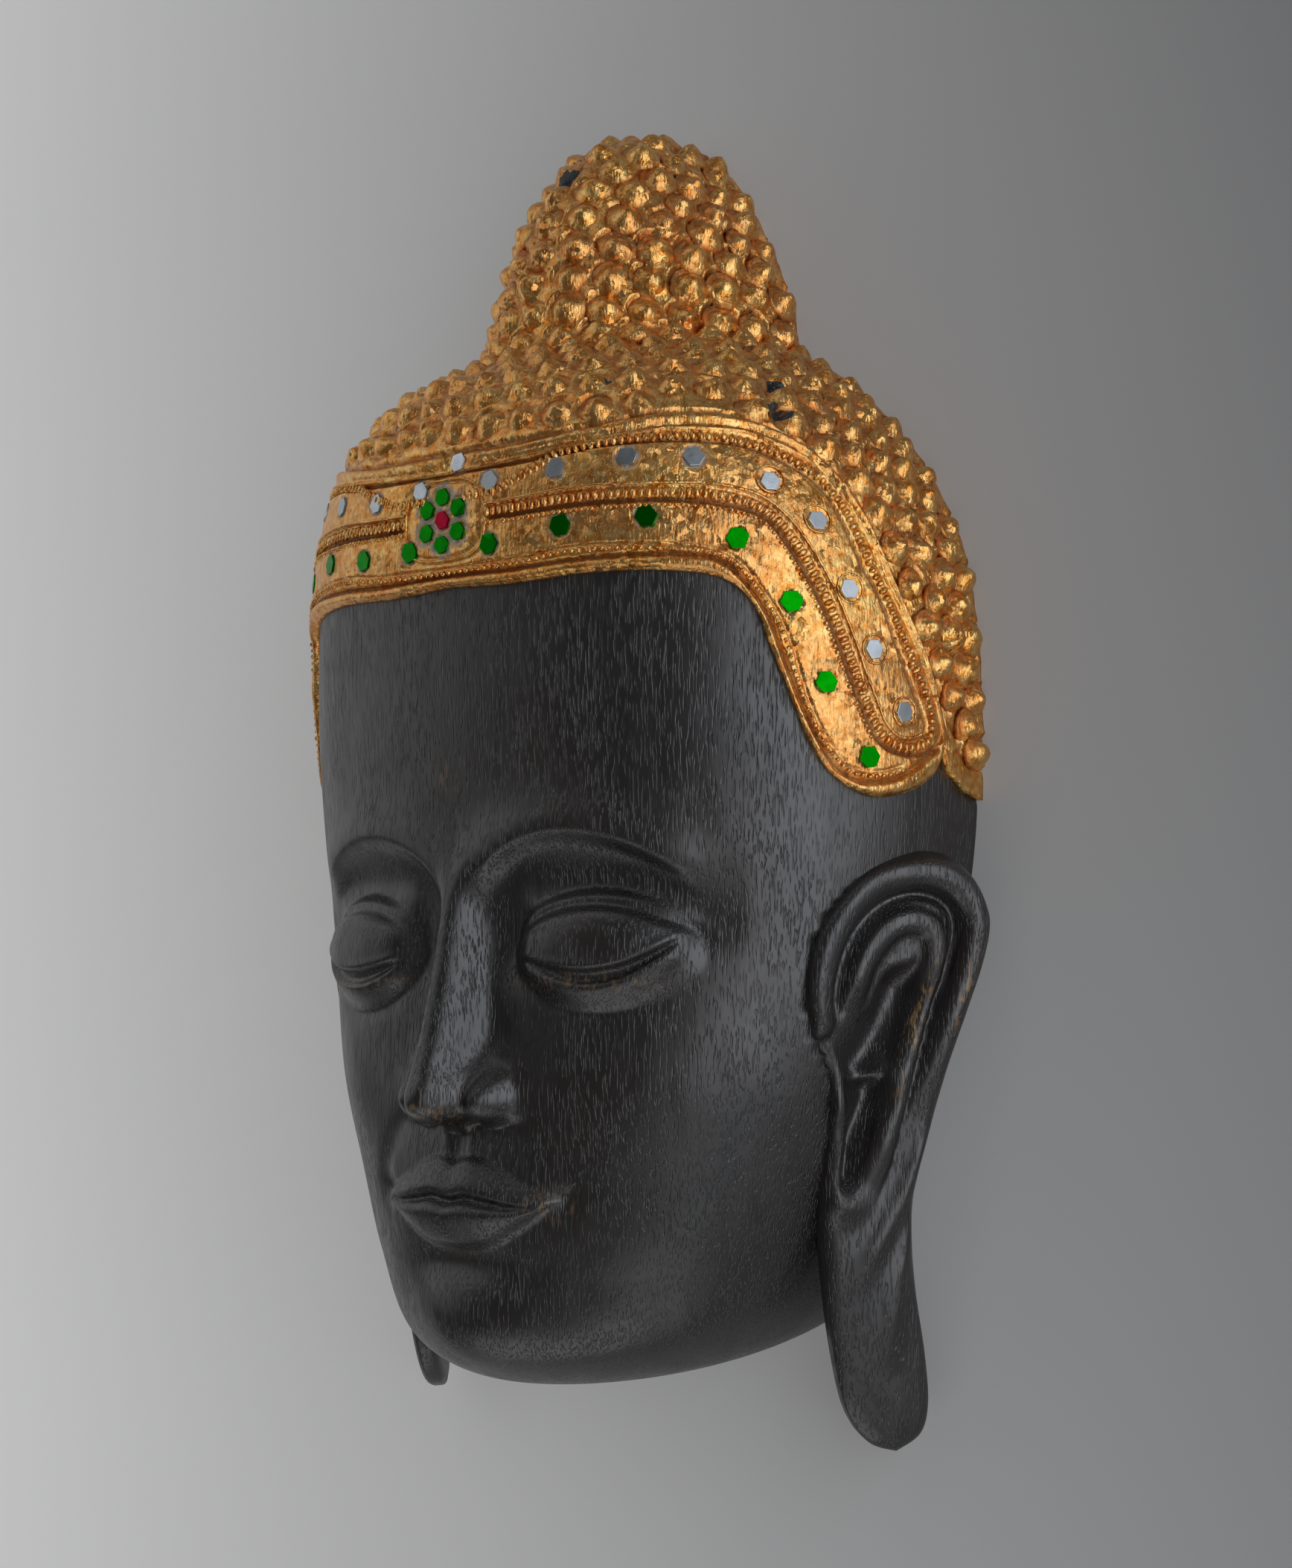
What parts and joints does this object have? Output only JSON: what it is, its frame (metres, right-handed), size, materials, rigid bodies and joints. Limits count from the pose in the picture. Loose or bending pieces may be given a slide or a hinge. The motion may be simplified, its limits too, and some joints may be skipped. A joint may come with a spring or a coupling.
{
  "type": "buddha mask",
  "caption": "Carved wooden wall mask of a serene head with long ears: black lacquered face, gilded curls and topknot, and a gilded band at the hairline set with mirror-glass chips.",
  "frame": {"origin": "the wall plane under the middle of the mask's bounding box, halfway between the topknot's tip and the tips of the ears", "axes": "+X to the viewer's right, +Y up the head to the topknot, +Z out of the face; the mask lies on its back rim, z = 0"},
  "size_m": [0.2976, 0.4982, 0.1458],
  "materials": {
    "lacquered_wood": "black lacquer on carved wood, semi-gloss, grain and pores showing; plain and thin on the back",
    "gold_leaf": "gold leaf over orange bole on the curls and the band, bright on the tips and dull in the hollows",
    "silver_mirror": "thin silvered mirror glass",
    "green_mirror": "thin green mirror glass",
    "red_mirror": "thin red mirror glass"
  },
  "bodies": {
    "root": {"flower_centre": "red_mirror", "flower_petal_1": "green_mirror", "flower_petal_2": "green_mirror", "flower_petal_3": "green_mirror", "flower_petal_4": "green_mirror", "flower_petal_5": "green_mirror", "flower_petal_6": "green_mirror", "green_chip_1": "green_mirror", "green_chip_10": "green_mirror", "green_chip_11": "green_mirror", "green_chip_12": "green_mirror", "green_chip_13": "green_mirror", "green_chip_14": "green_mirror", "green_chip_15": "green_mirror", "green_chip_2": "green_mirror", "green_chip_3": "green_mirror", "green_chip_4": "green_mirror", "green_chip_5": "green_mirror", "green_chip_6": "green_mirror", "green_chip_7": "green_mirror", "green_chip_8": "green_mirror", "green_chip_9": "green_mirror", "mask_body": "lacquered_wood", "silver_chip_1": "silver_mirror", "silver_chip_10": "silver_mirror", "silver_chip_11": "silver_mirror", "silver_chip_12": "silver_mirror", "silver_chip_13": "silver_mirror", "silver_chip_14": "silver_mirror", "silver_chip_15": "silver_mirror", "silver_chip_16": "silver_mirror", "silver_chip_17": "silver_mirror", "silver_chip_18": "silver_mirror", "silver_chip_19": "silver_mirror", "silver_chip_2": "silver_mirror", "silver_chip_3": "silver_mirror", "silver_chip_4": "silver_mirror", "silver_chip_5": "silver_mirror", "silver_chip_6": "silver_mirror", "silver_chip_7": "silver_mirror", "silver_chip_8": "silver_mirror", "silver_chip_9": "silver_mirror"}
  },
  "joints": []
}
